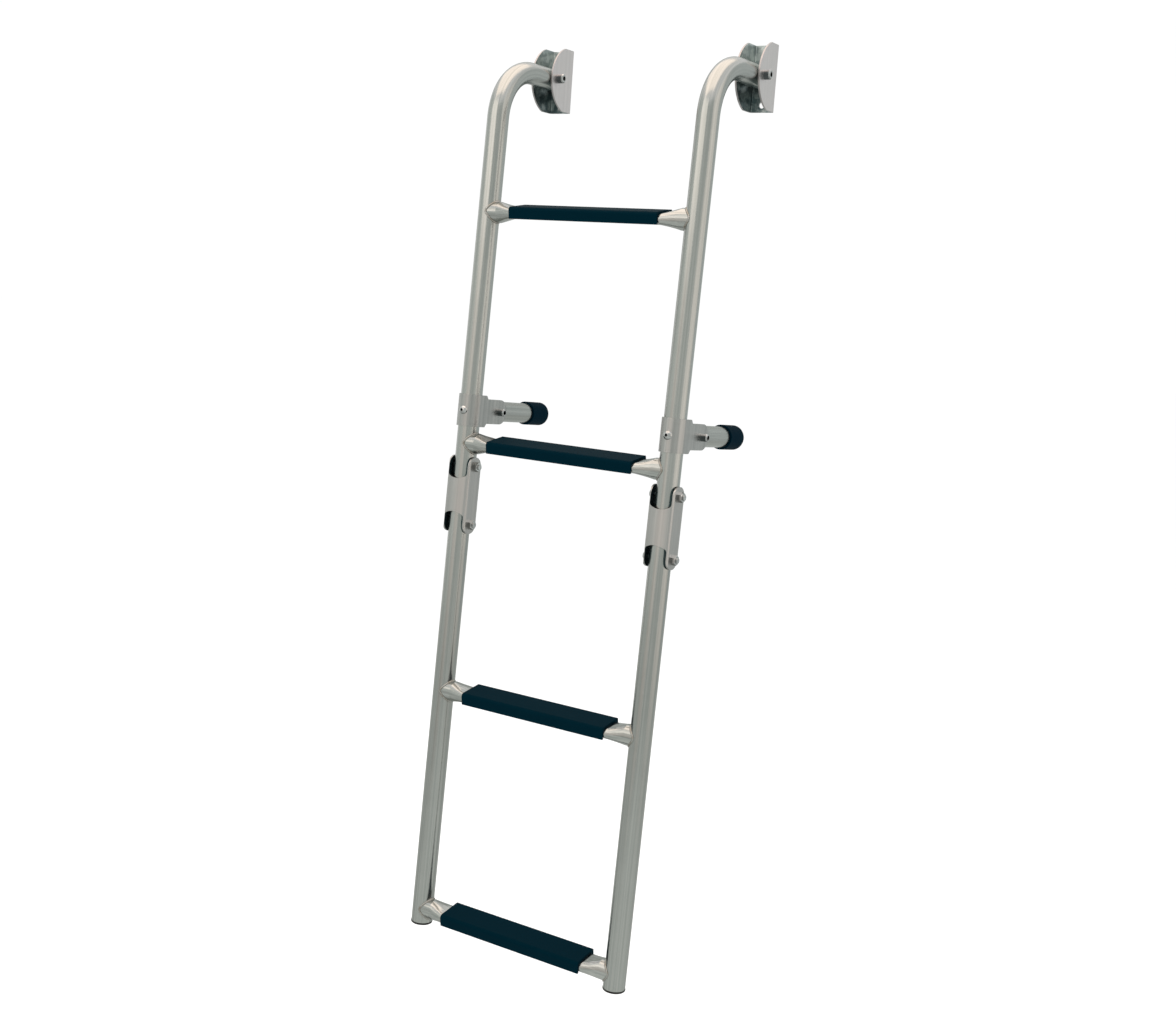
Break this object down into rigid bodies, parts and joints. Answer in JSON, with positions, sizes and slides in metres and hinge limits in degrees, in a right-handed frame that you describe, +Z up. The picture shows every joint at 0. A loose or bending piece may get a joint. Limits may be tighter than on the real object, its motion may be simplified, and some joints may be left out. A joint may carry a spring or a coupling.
{
  "type": "folding boarding ladder",
  "caption": "Stainless folding boarding ladder hung from two wall brackets, with dark treads, hinged side links, stand-off legs with rubber tips and plugged feet.",
  "frame": {"origin": "on the back face of the left bracket, level with the pivot bolts and midway across it", "axes": "+Z up along the rails, +Y to the wall the ladder hangs on, +X from the left rail to the right"},
  "size_m": [0.3122, 0.2043, 1.0491],
  "materials": {
    "stainless_tube": "satin polished tube",
    "stainless_sheet": "satin pressed sheet",
    "stainless_fastener": "bright machined",
    "black_plastic": "satin moulded",
    "black_rubber": "matt moulded"
  },
  "bodies": {
    "brackets": {"left_bracket": "stainless_sheet", "right_bracket": "stainless_sheet", "left_bracket_bolt": "stainless_fastener", "right_bracket_bolt": "stainless_fastener"},
    "upper_frame": {"left_upper_rail": "stainless_tube", "right_upper_rail": "stainless_tube", "rung_1": "stainless_tube", "rung_2": "stainless_tube", "tread_1": "black_plastic", "tread_2": "black_plastic", "left_standoff_clamp": "stainless_sheet", "right_standoff_clamp": "stainless_sheet", "left_clamp_rivet": "stainless_fastener", "right_clamp_rivet": "stainless_fastener", "left_standoff_bolt": "stainless_fastener", "right_standoff_bolt": "stainless_fastener"},
    "left_standoff": {"left_standoff_leg": "stainless_tube", "left_rubber_tip": "black_rubber"},
    "right_standoff": {"right_standoff_leg": "stainless_tube", "right_rubber_tip": "black_rubber"},
    "left_fold_link": {"left_link": "stainless_sheet", "left_upper_link_bolt": "stainless_fastener", "left_lower_link_bolt": "stainless_fastener"},
    "right_fold_link": {"right_link": "stainless_sheet", "right_upper_link_bolt": "stainless_fastener", "right_lower_link_bolt": "stainless_fastener"},
    "lower_frame": {"left_lower_rail": "stainless_tube", "right_lower_rail": "stainless_tube", "rung_3": "stainless_tube", "rung_4": "stainless_tube", "tread_3": "black_plastic", "tread_4": "black_plastic", "left_foot_plug": "black_plastic", "right_foot_plug": "black_plastic"}
  },
  "joints": [
    {"name": "ladder_swing", "type": "hinge", "parent": "brackets", "child": "upper_frame", "pos_m": [0, -0.0305, 0], "axis": [-1, 0, 0], "range_deg": [0, 100]},
    {"name": "left_link_fold", "type": "hinge", "parent": "upper_frame", "child": "left_fold_link", "pos_m": [0, -0.15377, -0.45933], "axis": [-1, 0, 0], "range_deg": [0, 90]},
    {"name": "right_link_fold", "type": "hinge", "parent": "upper_frame", "child": "right_fold_link", "pos_m": [0.27, -0.15377, -0.45933], "axis": [-1, 0, 0], "range_deg": [0, 90]},
    {"name": "lower_frame_fold", "type": "hinge", "parent": "left_fold_link", "child": "lower_frame", "pos_m": [0, -0.15792, -0.5272], "axis": [-1, 0, 0], "range_deg": [0, 90]},
    {"name": "left_standoff_tilt", "type": "hinge", "parent": "upper_frame", "child": "left_standoff", "pos_m": [0, -0.11088, -0.39683], "axis": [1, 0, 0], "range_deg": [-80, 90]},
    {"name": "right_standoff_tilt", "type": "hinge", "parent": "upper_frame", "child": "right_standoff", "pos_m": [0.27, -0.11088, -0.39683], "axis": [1, 0, 0], "range_deg": [-80, 90]}
  ],
  "couplings": [
    {"joint": "right_link_fold", "follows": "left_link_fold", "ratio": 1}
  ]
}
